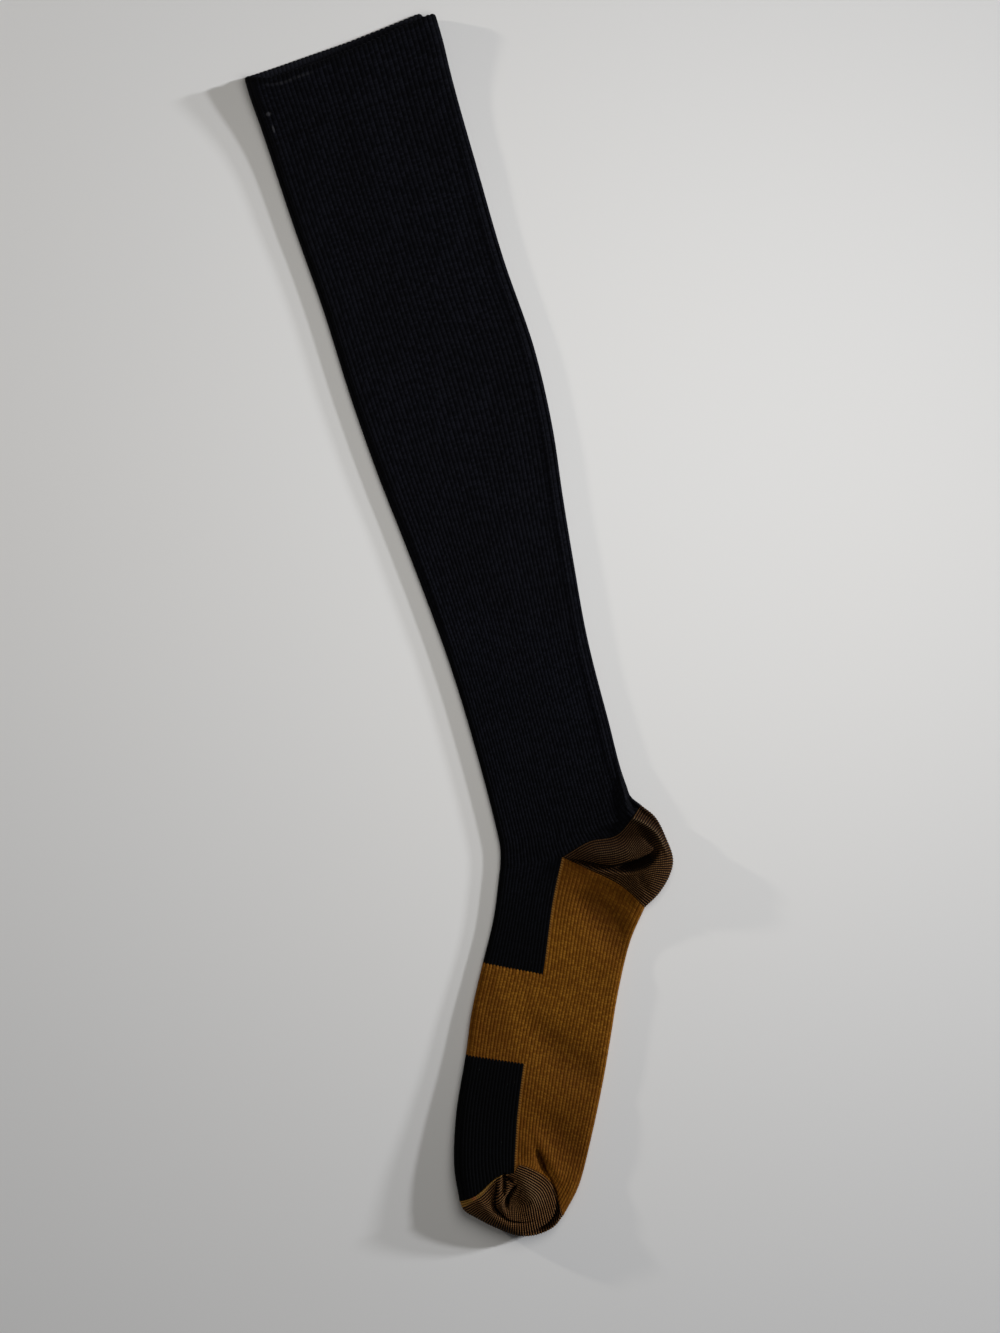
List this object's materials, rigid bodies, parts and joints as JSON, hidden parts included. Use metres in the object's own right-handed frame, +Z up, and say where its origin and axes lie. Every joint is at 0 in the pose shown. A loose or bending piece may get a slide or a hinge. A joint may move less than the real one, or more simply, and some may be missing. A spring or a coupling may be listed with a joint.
{
  "type": "compression stocking",
  "caption": "Knee-high ribbed compression stocking laid flat, black leg with a copper sole and arch band, striped heel and curled striped toe.",
  "frame": {"origin": "centre of the stocking's box, on the surface it lies on", "axes": "+Y along the leg from the heel to the cuff, +X from the instep side to the heel side, +Z up off the surface"},
  "size_m": [0.136, 0.5342, 0.0126],
  "materials": {
    "black_knit": "matte ribbed knit with a faint sheen",
    "copper_knit": "matte ribbed knit",
    "striped_knit": "matte plain knit in fine copper and black courses"
  },
  "bodies": {
    "root": {"welt": "black_knit", "leg": "black_knit", "heel": "striped_knit", "foot": "copper_knit", "instep": "black_knit", "toe": "striped_knit"}
  },
  "joints": []
}
